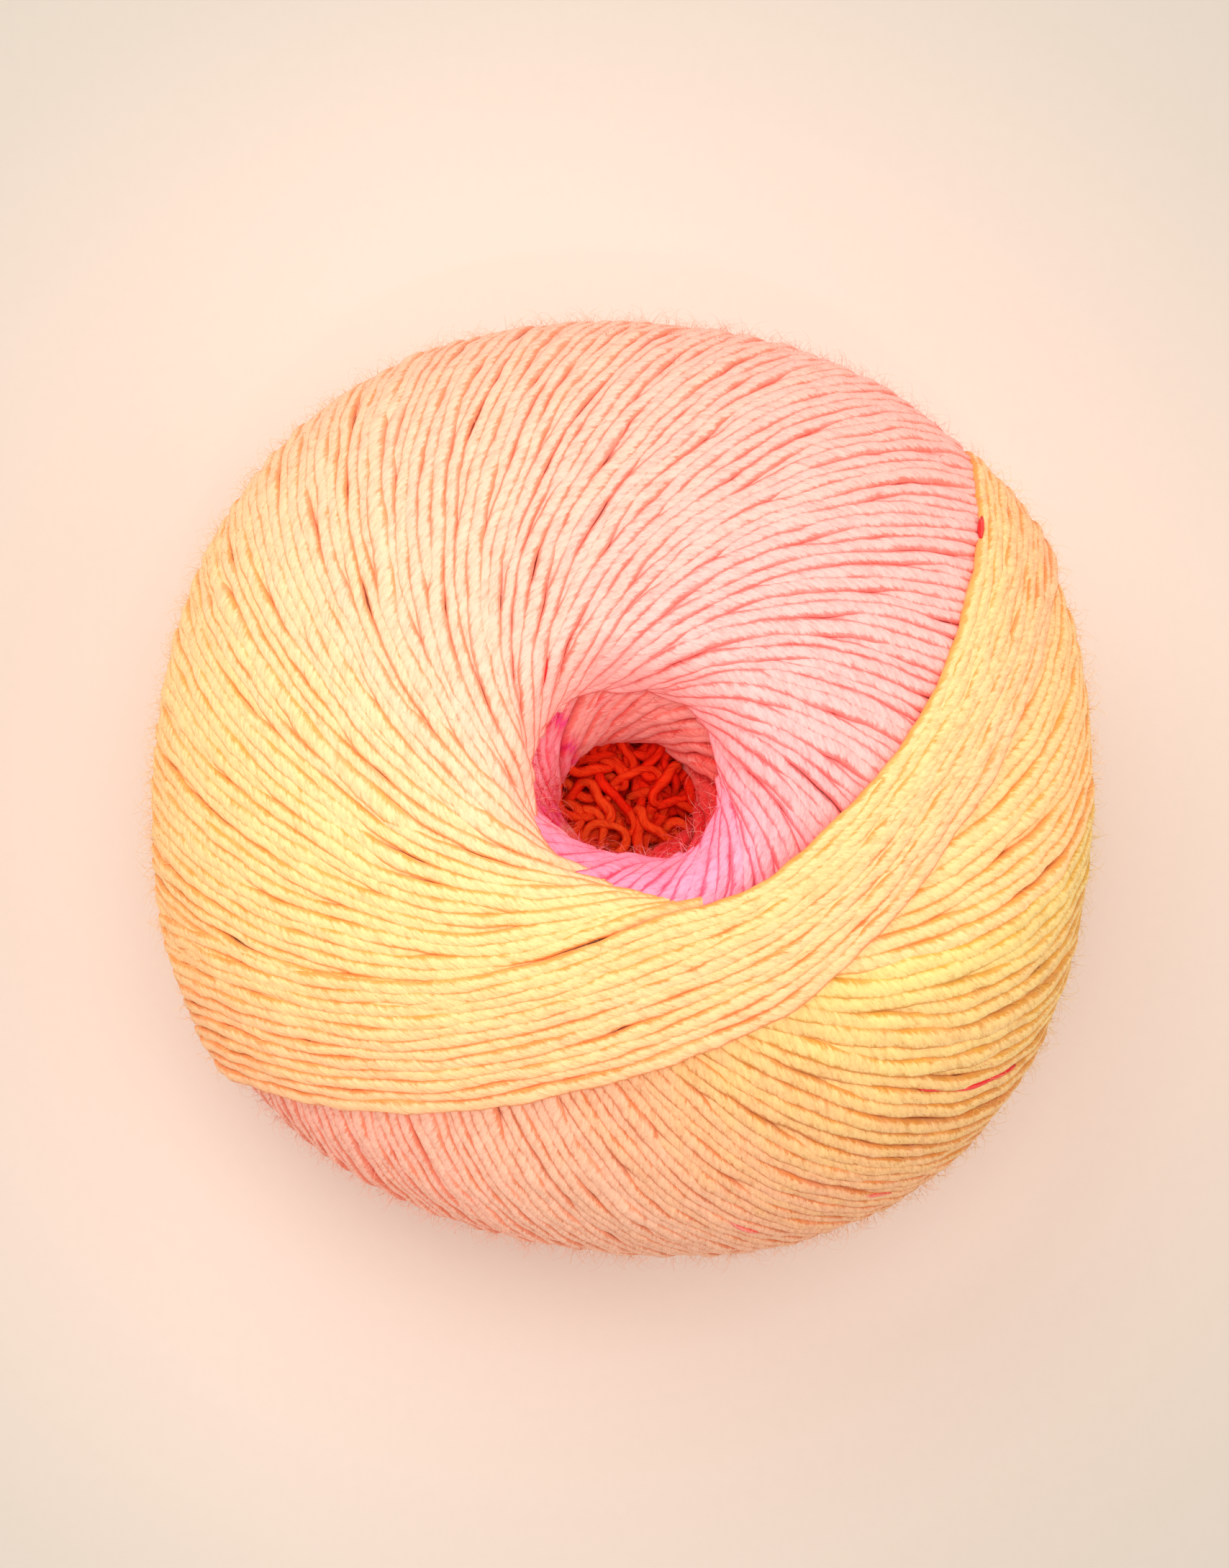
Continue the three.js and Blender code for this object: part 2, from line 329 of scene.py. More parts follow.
def attribute(tree, name):
    made = node(tree, "ShaderNodeAttribute")
    made.attribute_name = name
    return made.outputs["Fac"]


def dyed(tree, mottle, unevenness):
    """The colour of the wool where the mesh says how old its dye is."""
    made = group_node(tree, GRADIENT_DYE, Dye=attribute(tree, "dye"), Mottle=mottle, Unevenness=unevenness)
    return made.outputs["Colour"]


def heart_material():
    """Buried yarn: matted wool in painted shade, the deeper tone that the dye is given in its creases."""
    material, tree = new_material("buried_wool")
    matted = noise(tree, node(tree, "ShaderNodeTexCoord").outputs["Object"], 700.0, 4.0)
    # Painted shade: the whole heart takes the dye's deeper crease tone
    deep = node(tree, "ShaderNodeGamma", Color=dyed(tree, matted, 0.06), Gamma=CREASE_SHADE_GAMMA)
    bump = node(tree, "ShaderNodeBump", Height=matted, Strength=0.7, Distance=0.4 * MM)
    surface(tree, Base_Color=deep.outputs[0], Normal=bump.outputs[0], Roughness=0.95,
            Specular_IOR_Level=0.1)
    return material


def dress(piece, material, slot_name, *replaced):
    """Gives a yarn piece its material and its body, and hides the parts that it stands for."""
    piece.data.materials.append(material)
    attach(piece, "root")
    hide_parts(*replaced)


dress(heart_mesh(), heart_material(), "inner_yarn", "wound_ball")


# The rising turns
# Soft single-ply wool, felted rather than plied, wound on side by side under a light pull. On its way up
# each turn curls in to the hole one way: these halves cover the left and the top, and dive into the hole
# one under the other.

YARN_RADIUS = 0.88 * MM
# A laid strand's height over and under its middle, as a share of its radius
LAID_HEIGHT, LAID_KEEL = 0.76, 1.5
# Places round a strand, in degrees from its outer side: close together where it shows, and the seam inwards
LAID_RING = (-180, -108, -72, -36, 0, 36, 72, 108)
# Wavelengths of a strand's wandering to the side, its kinks, its rise and fall, and its thick places
WANDER_WAVES, KINK_WAVES = (47 * MM, 29 * MM, 16 * MM), (7.5 * MM, 4.6 * MM)
HEAVE_WAVES, SLUB_WAVES = (33 * MM, 19 * MM, 9 * MM), (21 * MM, 9 * MM, 4.3 * MM)
rng = np.random.default_rng(32)


def smoothstep(x):
    x = np.clip(x, 0, 1)
    return x * x * (3 - 2 * x)


def slow_noise(distance, lengths, local):
    """Smooth noise of about unit size along strands: one row a strand, with these wavelengths."""
    total = 0
    for length in lengths:
        phase = local.uniform(0, 2 * np.pi, (distance.shape[0], 1))
        stretch = local.uniform(0.8, 1.25, (distance.shape[0], 1))
        total = total + np.sin(2 * np.pi * distance / (length * stretch) + phase)
    return total / math.sqrt(len(lengths))


def strand_axes(points, facing):
    """Outward and sideways directions at each point of each strand."""
    tangent = np.gradient(points, axis=1)
    tangent /= np.linalg.norm(tangent, axis=-1, keepdims=True) + 1e-12
    outward = facing - (facing * tangent).sum(-1, keepdims=True) * tangent
    outward /= np.linalg.norm(outward, axis=-1, keepdims=True) + 1e-12
    return outward, np.cross(tangent, outward)


def yarn_mesh(name, points, facing, radius, dye, ring=LAID_RING, height=LAID_HEIGHT, keel=LAID_KEEL,
              wander=0.15 * MM, heave=0.16 * MM, kink=0.045 * MM, slub=0.09, seed=1):
    """A mesh of many strands, each a plump, slightly uneven tube that is pressed flat on those below.
    Its UV runs along the strand in centimetres and once round it, with the seam inwards."""
    local = np.random.default_rng(seed)
    count, rows = points.shape[:2]
    sides = len(ring)
    steps = np.linalg.norm(np.diff(points, axis=1), axis=2)
    distance = np.concatenate([np.zeros((count, 1)), np.cumsum(steps, 1)], 1)
    outward, sideways = strand_axes(points, facing)
    stray = wander * slow_noise(distance, WANDER_WAVES, local)
    stray = stray + kink * slow_noise(distance, KINK_WAVES, local)
    rise = heave * slow_noise(distance, HEAVE_WAVES, local)
    points = points + sideways * stray[..., None] + outward * rise[..., None]
    outward, sideways = strand_axes(points, facing)
    uneven = 1 + slub * slow_noise(distance, SLUB_WAVES, local)
    thick = (radius * uneven)[..., None, None]
    angle = np.radians(ring)
    outer = np.broadcast_to(height, (count, rows))[..., None]
    tall = np.cos(angle) * np.where(np.cos(angle) > 0, outer, keel)
    loop = outward[:, :, None] * tall[..., None] - sideways[:, :, None] * np.sin(angle)[:, None]
    verts = points[:, :, None] + loop * thick
    verts[..., 2] = np.maximum(verts[..., 2], 0.0)

    s, m, j = np.meshgrid(np.arange(count), np.arange(rows - 1), np.arange(sides), indexing="ij")
    here = (s * rows + m) * sides
    after = here + sides
    k = (j + 1) % sides
    quads = np.stack([here + j, here + k, after + k, after + j], -1).reshape(-1, 4)
    first = (np.arange(count) * rows * sides)[:, None] + np.arange(sides)[::-1]
    last = ((np.arange(count) * rows + rows - 1) * sides)[:, None] + np.arange(sides)
    corners = np.concatenate([quads.ravel(), first.ravel(), last.ravel()])
    starts = np.concatenate([4 * np.arange(len(quads)), 4 * len(quads) + sides * np.arange(2 * count)])

    mesh = bpy.data.meshes.new(name)
    mesh.vertices.add(count * rows * sides)
    mesh.vertices.foreach_set("co", verts.astype(np.float32).ravel())
    mesh.loops.add(len(corners))
    mesh.loops.foreach_set("vertex_index", corners.astype(np.int32))
    mesh.polygons.add(len(starts))
    mesh.polygons.foreach_set("loop_start", starts.astype(np.int32))
    mesh.polygons.foreach_set("use_smooth", np.ones(len(starts), bool))
    mesh.update(calc_edges=True)

    length = distance * 100
    around = np.append(np.array(ring) / 360 + 0.5, 1.0)
    u = np.stack([length[s, m], length[s, m], length[s, m + 1], length[s, m + 1]], -1)
    v = np.stack([around[j], around[j + 1], around[j + 1], around[j]], -1)
    side_uv = np.stack([u, v], -1).reshape(-1, 2)
    uv = np.concatenate([side_uv, np.zeros((2 * count * sides, 2))])
    layer = mesh.uv_layers.new(name="strand")
    layer.data.foreach_set("uv", uv.astype(np.float32).ravel())
    for key, value in (("dye", dye), ("strand_seed", local.uniform(0, 1, count))):
        of_points = mesh.attributes.new(key, "FLOAT", "POINT")
        spread = np.broadcast_to(np.reshape(value, (count, -1, 1)), (count, rows, sides))
        of_points.data.foreach_set("value", spread.astype(np.float32).ravel())
    return new_object(name, mesh)


OUTSIDE_FROM, OUTSIDE_WIDTH, FLATTER_OUTSIDE = 0.8, 0.18, 0.5


def outlying(points):
    """From 0 over most of the ball to 1 round its outside, where the strands are pulled tightest."""
    reach = np.hypot(points[..., 0], points[..., 1]) / MEAN_RADIUS
    return smoothstep((reach - OUTSIDE_FROM) / OUTSIDE_WIDTH)


def laid_height(points):
    """How plump strands lie: less so round the outside."""
    return LAID_HEIGHT * (1 - FLATTER_OUTSIDE * outlying(points))


def spun_fibre_group():
    """Felted fibre: how high the surface stands, how mottled it is, and where it turns into a crease, the
    mask for painted crease shade.
    """
    group = bpy.data.node_groups.new("spun_fibre", "ShaderNodeTree")
    face = group.interface
    face.new_socket("Strand UV", in_out="INPUT", socket_type="NodeSocketVector")
    face.new_socket("Strand seed", in_out="INPUT", socket_type="NodeSocketFloat")
    face.new_socket("Twist", in_out="INPUT", socket_type="NodeSocketFloat")
    for key in ("Height", "Mottle", "Crease"):
        face.new_socket(key, in_out="OUTPUT", socket_type="NodeSocketFloat")
    enter = group.nodes.new("NodeGroupInput")
    leave = group.nodes.new("NodeGroupOutput")
    split = node(group, "ShaderNodeSeparateXYZ", Vector=enter.outputs["Strand UV"])
    far = split.outputs["X"]
    around = split.outputs["Y"]
    offset = math_node(group, "MULTIPLY", enter.outputs["Strand seed"], 97.0)
    # A strand unrolled, in centimetres: fibres lie along the twist and small wrinkles lie across it
    twisted = math_node(group, "MULTIPLY_ADD", far, enter.outputs["Twist"], around)
    girth = math_node(group, "MULTIPLY", twisted, 0.5)
    drawn_out = math_node(group, "MULTIPLY", far, 0.4)
    fibres = node(group, "ShaderNodeCombineXYZ", X=drawn_out, Y=girth, Z=offset).outputs[0]
    fine = noise(group, fibres, 48.0, 3.0, 0.65)
    tufts = noise(group, fibres, 22.0, 3.0, 0.65)
    soft = noise(group, fibres, 5.0, 2.0)
    slant = math_node(group, "MULTIPLY_ADD", around, 0.55, far)
    short = math_node(group, "MULTIPLY", around, 0.18)
    across = node(group, "ShaderNodeCombineXYZ", X=slant, Y=short, Z=offset).outputs[0]
    wrinkle = noise(group, across, 10.0, 2.0)
    height = math_node(group, "MULTIPLY", fine, 0.3)
    height = math_node(group, "MULTIPLY_ADD", tufts, 0.5, height)
    height = math_node(group, "MULTIPLY_ADD", wrinkle, 0.2, height)
    group.links.new(height, leave.inputs["Height"])
    group.links.new(soft, leave.inputs["Mottle"])
    # Half way round is the outer side: painted shade leaves the strand palest there and deepest where it
    # meets the next
    away = math_node(group, "ABSOLUTE", math_node(group, "SUBTRACT", around, 0.5))
    ragged = math_node(group, "MULTIPLY_ADD", height, -0.45, math_node(group, "ADD", away, 0.225))
    crease = node(group, "ShaderNodeMapRange", Value=ragged, From_Min=0.06, From_Max=0.155)
    crease.interpolation_type = "SMOOTHSTEP"
    # Along the strand the painted crease shade is a little paler here and there
    broken = node(group, "ShaderNodeMapRange", Value=soft, From_Min=0.62, From_Max=0.42, To_Min=0.75)
    dashes = math_node(group, "MULTIPLY", crease.outputs[0], broken.outputs[0])
    group.links.new(dashes, leave.inputs["Crease"])
    return group


SPUN_FIBRE = spun_fibre_group()


def yarn_material(name, crease_shade_gamma=CREASE_SHADE_GAMMA, painted_hollow_shade=0.34, contrast=0.8, relief=0.35 * MM, fuzz=0.1):
    """Dyed wool: the dye's tone outside, painted shade in a deeper tone in the creases and hollows, painted
    light and shade on the fibre's relief, and felted fibre.
    """
    material, tree = new_material(name)
    seed = attribute(tree, "strand_seed")
    uv = node(tree, "ShaderNodeUVMap")
    uv.uv_map = "strand"
    fibre = group_node(tree, SPUN_FIBRE, Strand_UV=uv.outputs[0], Strand_seed=seed, Twist=1.1)
    height = fibre.outputs["Height"]
    each_strand = math_node(tree, "MULTIPLY_ADD", seed, 0.4, -0.2)
    colour = dyed(tree, math_node(tree, "ADD", fibre.outputs["Mottle"], each_strand), 0.03)
    # Painted shade: the deeper tone for creases and for the hollows of the fibre relief
    deep = node(tree, "ShaderNodeGamma", Color=colour, Gamma=crease_shade_gamma)
    hollow = node(tree, "ShaderNodeMapRange", Value=height, From_Min=0.53, From_Max=0.36, To_Max=painted_hollow_shade)
    depth = math_node(tree, "MAXIMUM", fibre.outputs["Crease"], hollow.outputs[0])
    tone = mix_colour(tree, depth, colour, deep.outputs[0])
    # Painted light and shade: high fibre is lightened and low fibre darkened
    light = math_node(tree, "MULTIPLY_ADD", height, contrast, 1 - contrast / 2)
    lit = node(tree, "ShaderNodeHueSaturation", Color=tone, Value=light)
    bump = node(tree, "ShaderNodeBump", Height=height, Strength=1.0, Distance=relief)
    surface(tree, Base_Color=lit.outputs[0], Normal=bump.outputs[0], Roughness=0.9,
            Specular_IOR_Level=0.1, Sheen_Weight=fuzz, Sheen_Roughness=0.6)
    return material


WOOL = yarn_material("gradient_wool")

TURNS = 215
STEP = 360 / TURNS
ROWS_ABOVE, ROWS_BELOW = 60, 18
# Underneath the strands spiral in as far as this share of the radius
BELOW_NEAREST, BELOW_SLOPE = 0.07, 0.62
# A strand goes under within this much of the radius, and so deep
BURY_WIDTH, BURY_DEPTH = 0.22, 1.3 * MM
# Room that a strand still takes once it is buried, as a share of its own
BURIED_ROOM = 0.02
CROWDING_STEPS = 80
# Strands are drawn on round the outside over this many degrees of the form, counted down from its top
DRAWN_FROM, DRAWN_OVER = 45, 90
# From this share inwards a family that lies under the other sinks out of sight
SINK_FROM, SINK_WIDTH = 0.52, 0.15
# Strands dive into the hole over this much of the spiral's own measure
DIVE_REACH = 1.15


def radical_inverse(numbers):
    """Evenly scattered shares between 0 and 1: which of the strands go under first where they crowd."""
    return np.array([sum(((n >> bit) & 1) / 2 ** (bit + 1) for bit in range(10)) for n in numbers])


def crowding(count):
    """Where strands crowd towards the hole some go under and the others close up over them.
    Gives each strand's burying share of the radius, and how far it shifts sideways at any share."""
    buried = radical_inverse(np.arange(1, count + 1))
    shares = np.linspace(0, 1, CROWDING_STEPS)
    on_top = smoothstep((shares[:, None] - buried[None]) / BURY_WIDTH + 0.5) + BURIED_ROOM
    place = (np.cumsum(on_top, 1) - on_top / 2) / on_top.sum(1, keepdims=True) * count
    return buried, shares, place - (np.arange(count) + 0.5)


BURIED, SHARES, SHIFT = crowding(TURNS)


def drawing_on(share, below):
    """How much of its extra turn a strand has made: none on top, and all of it once it is underneath."""
    tilt = np.degrees(np.arcsin(np.clip(share, 0, 1)))
    return smoothstep((np.where(below, 180 - tilt, tilt) - DRAWN_FROM) / DRAWN_OVER)


def half_turns(sense, index, passes, nearest, slope, age, drawn_on, far=1.0, dive=0.0, tail=0.0, sink=0.0):
    """The strands of one family, from beside the hole out to a far share of the radius. Where that is the
    whole radius, they go on over the equator to underneath, and turn so many degrees more on the way."""
    buried = BURIED[index % TURNS]
    start_share = np.maximum(buried - BURY_WIDTH, nearest)
    start = np.where(buried < nearest + 0.03, -tail, np.arccosh(start_share / nearest))[:, None]
    stop = np.arccosh(far / nearest)[:, None]
    t = np.linspace(0, 1, ROWS_ABOVE)[None]
    u = start + (stop - start) * (1 - (1 - t) ** 2)
    share = np.clip(nearest[:, None] * np.cosh(u), 0, 1)
    sweep = slope[:, None] * u
    below = np.zeros(u.shape, bool)
    near = np.clip(1 - u / DIVE_REACH, 0, None)
    if far == 1.0:
        t = np.linspace(0, 1, ROWS_BELOW + 1)[None, 1:]
        low_start = np.arccosh(1 / BELOW_NEAREST)
        low_stop = np.arccosh(np.maximum(buried - BURY_WIDTH, BELOW_NEAREST) / BELOW_NEAREST)[:, None]
        low_u = low_start + (low_stop - low_start) * t**2
        share = np.concatenate([share, BELOW_NEAREST * np.cosh(low_u)], 1)
        sweep = np.concatenate([sweep, slope[:, None] * stop + BELOW_SLOPE * (low_start - low_u)], 1)
        below = np.concatenate([below, np.ones(low_u.shape, bool)], 1)
        near = np.concatenate([near, 0 * low_u], 1)
    on_top = smoothstep((share - buried[:, None]) / BURY_WIDTH + 0.5)
    shift = np.stack([np.interp(row, SHARES, SHIFT[:, i % TURNS]) for row, i in zip(share, index)]) * STEP
    turned = np.degrees(sweep) + drawn_on * drawing_on(share, below)
    lift = turn_lift(age[:, None]) - BURY_DEPTH * (1 - on_top) - dive * near**2
    lift = lift - sink * np.where(below, 0, smoothstep((SINK_FROM - share) / SINK_WIDTH))
    return form_point(passes[:, None] + sense * turned - shift, share, below, lift)


def slope_for(nearest, sweep, share):
    """Spiral slope of a half turn that sweeps so many degrees between its nearest point and a share."""
    return np.radians(sweep) / np.arccosh(share / nearest)


RAGGED_MOUTH, RAGGED_FROM_AGE = 0.022, 60
# Degrees that a rising turn sweeps between the hole and the edge, by its age
RISING_SWEEPS = ((0, 19, 43, 68, 129, 223, 360), (88, 93.2, 96, 94, 93, 92, 92))
RISING_DIVE, RISING_TAIL, RISING_DRAWN_ON = 2.2 * MM, 0.85, 12.0
# A turn is left out where it would stay buried until this close to its far end
BURIED_TO_THE_END = 0.06


def rising_turns(first, last, far):
    """The rising halves of some turns, with their ages. Those that lie wholly deeper are left out."""
    index = np.arange(first, last)
    index = index[BURIED[index % TURNS] - BURY_WIDTH < far - BURIED_TO_THE_END]
    age = STEP * index
    nearest = np.interp(age, NEAREST_AGES, NEAREST_SHARES)
    # Beside the hole they bunch in uneven handfuls, which leaves its mouth ragged
    handful = np.sin(0.42 * index) + 0.6 * np.sin(0.23 * index + 1.3)
    handful = handful + rng.standard_normal(len(index)) * 0.6
    nearest = nearest * (1 + RAGGED_MOUTH * handful * (age > RAGGED_FROM_AGE))
    sweep = np.interp(age, *RISING_SWEEPS)
    slope = slope_for(nearest, sweep, EDGE_SHARE)
    points, facing = half_turns(-1, index, LEFT_END - age + sweep, nearest, slope, age, RISING_DRAWN_ON,
                                far, RISING_DIVE, RISING_TAIL)
    return points, facing, age


OLD_FROM = 122
# Name, first turn, the one after the last, and how far out. The newest turns are the last wrap's own, and
# the oldest show only beside the hole
RISING_PARTS = (
    ("rising_turns_new", 7, OLD_FROM, 1.0),
    ("rising_turns_old", OLD_FROM, TURNS, 0.9),
    ("rising_turns_under", TURNS, 269, 0.6),
)
# Turns older than this show at the rim in nearly one tone, which deepens only by this share of their age
DEEPEST_RIM, DEEPENING = 345, 0.35
# How much strands differ in thickness, and how much fuller these are where they are drawn on
UNEVEN_YARN, FULLER_OUTSIDE = 0.11, 0.1
# What is laid so far, for the red traces and the fuzz: points, which way they face, and dye
laid = []
for name, first, last, far in RISING_PARTS:
    points, facing, age = rising_turns(first, last, far)
    tone = np.where(age > DEEPEST_RIM, DEEPEST_RIM + DEEPENING * (age - DEEPEST_RIM), age) / DYE_LENGTH
    laid.append((points, facing, tone))
    uneven = 1 + UNEVEN_YARN * rng.standard_normal((len(age), 1))
    radii = YARN_RADIUS * (1 + FULLER_OUTSIDE * outlying(points)) * uneven
    piece = yarn_mesh(name, points, facing, radii, tone, height=laid_height(points), seed=first)
    dress(piece, WOOL, "wound_yarn", "wound_ball")


# The falling turns
# The same wool: on its way down each turn curls out the other way. These halves cover the right and the
# front below the last wrap, and run on underneath.

FALLING_TURNS = 122
# Those nearest the last wrap are the loosest: how many, and how much wider apart and plumper they lie
LOOSE_TURNS, LOOSENESS, PLUMPNESS = 34, 0.4, 0.75
FALLING_NEAREST, FALLING_TAIL, FALLING_SINK = 0.37, 0.1, 3.2 * MM
FALLING_DRAWN_ON, SLIMMER_OUTSIDE = 22.0, 0.1
# Degrees clockwise from the right at which a turn leaves the top, and its age, its slope and its dye there;
# from the front on the dye is a darker, more orange copy, which is painted shade
FALLING_AGES = ((-24, 13, 336), (19, 43, 366))
FALLING_SLOPES = ((-24, 20, 55, 100), (0.9, 0.82, 0.7, 0.72))
FALLING_DYES_AND_SHADE = ((-24, 13, 13.1, 50, 70, 90, 110, 130), (19, 43, 640, 660, 680, 700, 720, 740))


def falling_turns(first, last):
    """The falling halves of some of the turns, with their dye, which from the front on carries painted
    shade.
    """
    index = np.arange(first, last)
    right_ends = RIGHT_END - STEP * (index + LOOSENESS * np.minimum(index, LOOSE_TURNS))
    ages = np.interp(-right_ends, *FALLING_AGES)
    nearest = np.full(len(index), FALLING_NEAREST)
    slope = np.interp(-right_ends, *FALLING_SLOPES)
    passes = right_ends - np.degrees(slope * np.arccosh(EDGE_SHARE / FALLING_NEAREST))
    points, facing = half_turns(1, index, passes, nearest, slope, ages, FALLING_DRAWN_ON,
                                tail=FALLING_TAIL, sink=FALLING_SINK)
    return points, facing, np.interp(-right_ends, *FALLING_DYES_AND_SHADE) / DYE_LENGTH


points, facing, falling_dye_and_shade = falling_turns(0, FALLING_TURNS)
laid.append((points, facing, falling_dye_and_shade))
plump = 1 + PLUMPNESS * LOOSENESS * smoothstep(1.5 - np.arange(FALLING_TURNS) / LOOSE_TURNS)
slimmer = 1 - SLIMMER_OUTSIDE * outlying(points)
uneven = 1 + UNEVEN_YARN * rng.standard_normal((FALLING_TURNS, 1))
radii = YARN_RADIUS * plump[:, None] * slimmer * uneven
piece = yarn_mesh("falling_turns", points, facing, radii, falling_dye_and_shade, height=laid_height(points),
                  seed=200)
dress(piece, WOOL, "wound_yarn", "wound_ball")


# The last wrap
# The last twelve turns of the same wool lie side by side as a raised band that crosses the top below the
# hole, from the lower left to the upper right, where they draw together before they go over the edge.

BAND_TURNS = 12
BAND_ROWS_ABOVE, BAND_ROWS_BELOW = 64, 18
# For the newest turn, which lies lowest, and how much more for the oldest: azimuth at which it passes the
# hole, how near it passes, and azimuths at which it goes over the edge on the left and on the right
BAND_PASS, BAND_NEAREST = (307, -14), (0.515, -0.215)
BAND_LEFT, BAND_RIGHT = (215, -19), (390, 14)


def band_half(sense, passes, nearest, sweep, lift_start, lift_end):
    """One side of the band's turns, from beside the hole over the equator to underneath."""
    slope = slope_for(nearest, sweep, 1.0)[:, None]
    t = np.linspace(0, 1, BAND_ROWS_ABOVE)[None]
    stop = np.arccosh(1 / nearest)[:, None]
    u = stop * (1 - (1 - t) ** 1.8)
    share = nearest[:, None] * np.cosh(u)
    t_low = np.linspace(0, 1, BAND_ROWS_BELOW + 1)[None, 1:]
    low_start = np.arccosh(1 / BELOW_NEAREST)
    low_u = low_start * (1 - t_low**2 * 0.8) + 0 * stop
    share = np.concatenate([share, BELOW_NEAREST * np.cosh(low_u)], 1)
    turned = np.degrees(np.concatenate([slope * u, slope * stop + BELOW_SLOPE * (low_start - low_u)], 1))
    below = np.concatenate([np.zeros(u.shape, bool), np.ones(low_u.shape, bool)], 1)
    reach = np.concatenate([u / stop, 1 + 0.6 * t_low + 0 * stop], 1)
    lift = lift_start[:, None] + (lift_end - lift_start)[:, None] * smoothstep(reach / 1.2)
    return form_point(passes[:, None] + sense * turned, np.clip(share, 0, 1), below, lift)


part = np.linspace(0, 1, BAND_TURNS)
band_passes = BAND_PASS[0] + BAND_PASS[1] * part
band_nearest = BAND_NEAREST[0] + BAND_NEAREST[1] * part**0.95
left_sweep = band_passes - (BAND_LEFT[0] + BAND_LEFT[1] * part)
right_sweep = BAND_RIGHT[0] + BAND_RIGHT[1] * part - band_passes
# The band stands proud on top, and comes down to its neighbours at both edges
band_top = turn_lift(0) + (0.9 - 0.35 * part) * MM
left_drop, right_drop = (0.6 - 0.1 * part) * MM, (0.5 + 1.1 * part) * MM
left_half = band_half(-1, band_passes, band_nearest, left_sweep, band_top, band_top - left_drop)
right_half = band_half(1, band_passes, band_nearest, right_sweep, band_top, band_top - right_drop)
points, facing = [np.concatenate([r[:, :0:-1], l], 1) for l, r in zip(left_half, right_half)]
band_ages = STEP * np.arange(BAND_TURNS)
laid.append((points, facing, band_ages / DYE_LENGTH))
band_radii = YARN_RADIUS * (1.02 + 0.06 * rng.standard_normal((BAND_TURNS, 1)))
piece = yarn_mesh("last_wrap", points, facing, band_radii, band_ages / DYE_LENGTH, wander=0.2 * MM,
                  height=laid_height(points), seed=5)
dress(piece, WOOL, "wound_yarn", "wound_ball")


# The red traces
# Here and there a short length of a deeper, redder turn of the same wool shows in the crease between two
# of the outer ones.

# Middle of each in millimetres, its length, and its dye
TRACES = (
    (40.0, -33.6, 17.0, 474),
    (13.4, -50.8, 7.0, 450),
    (28.5, -47.2, 8.0, 450),
    (-9.8, 9.2, 3.5, 490),
    (39.5, 28.8, 3.5, 470),
    (43.2, 15.5, 3.0, 470),
)
TRACE_ROWS = 24
TRACE_RADIUS, TRACE_ASIDE, TRACE_ABOVE = 0.36 * MM, 0.72 * MM, 0.2 * MM
TRACE_SEARCH = 1.5 * MM
trace_points, trace_facing = [], []
for x, y, length, _ in TRACES:
    highest = 0.0
    for points, facing, _ in laid:
        off = np.hypot(points[..., 0] - x * MM, points[..., 1] - y * MM)
        height = np.where(off < TRACE_SEARCH, points[..., 2], 0)
        strand, row = np.unravel_index(height.argmax(), height.shape)
        if height[strand, row] > highest:
            highest, line, out, middle_row = height[strand, row], points[strand], facing[strand], row
    along = np.concatenate([[0], np.cumsum(np.linalg.norm(np.diff(line, axis=0), axis=1))])
    sample = along[middle_row] + np.linspace(-length / 2, length / 2, TRACE_ROWS) * MM
    trace_points.append(np.stack([np.interp(sample, along, line[:, k]) for k in range(3)], -1))
    trace_facing.append(np.stack([np.interp(sample, along, out[:, k]) for k in range(3)], -1))
trace_points, trace_facing = np.stack(trace_points), np.stack(trace_facing)
outward, sideways = strand_axes(trace_points, trace_facing)
trace_points = trace_points + sideways * TRACE_ASIDE + outward * TRACE_ABOVE
tapered = np.sin(np.pi * np.linspace(0.04, 0.96, TRACE_ROWS)) ** 0.5
trace_dye = np.array([dye for *_, dye in TRACES]) / DYE_LENGTH
piece = yarn_mesh("red_traces", trace_points, trace_facing, TRACE_RADIUS * tapered[None], trace_dye,
                  seed=41)
dress(piece, WOOL, "wound_yarn", "wound_ball")


# The wall of the well
# Inside the rim the older turns of the wool run on down the well, slanting the same way as those on top.
# Its far side, which the light reaches, is salmon, and the rest goes from hot pink to the red of the yarn's
# start,
# redder further down: partly the yarn's own colours and partly painted light and shade.

# Strands, height of their upper and lower ends, how far behind the face they lie, and their age going down
WALL_LAYERS = ((44, 76.0, 60.0, 0.0, 0, 8), (46, 74.0, 54.0, 0.9, 8, 30))
WALL_ROWS = 34
WALL_SLANT = 74
# Radius of the mouth round the hole as a share of the ball's, and age of the yarn of the wall, by azimuth;
# the age also paints light: paler on the lit far side, redder on the shaded sides
MOUTH_TURN = (0, 60, 90, 180, 228, 270, 320, 360)
MOUTH_SHARE = (0.215, 0.195, 0.185, 0.222, 0.2, 0.19, 0.212, 0.215)
WALL_AGE_TURN = (0, 30, 126, 144, 162, 185, 205, 225, 340, 360)
WALL_AGE_AND_LIGHT = (463, 439, 433, 392, 391, 398, 403, 474, 480, 463)
WELL_SEMI_AXES = (8.3 * MM, 7.1 * MM)
WELL_MIDDLE = (0.3 * MM, -2.0 * MM)
BEHIND_MOUTH = 0.9 * MM
# The well opens out from this height on
FLARE_FROM, FLARE_HEIGHT, FLARE_MOST, FLARE_POWER = 64 * MM, 12 * MM, 1.2, 1.4


def mouth_radius(azimuth):
    """Radius of the mouth that the rising turns leave open."""
    return np.interp(azimuth % 360, MOUTH_TURN, MOUTH_SHARE) * MEAN_RADIUS


def well_flare(z):
    """How far the well has opened out at a height: 0 down in it, and 1 at its mouth."""
    return np.clip((z - FLARE_FROM) / FLARE_HEIGHT, 0, FLARE_MOST) ** FLARE_POWER


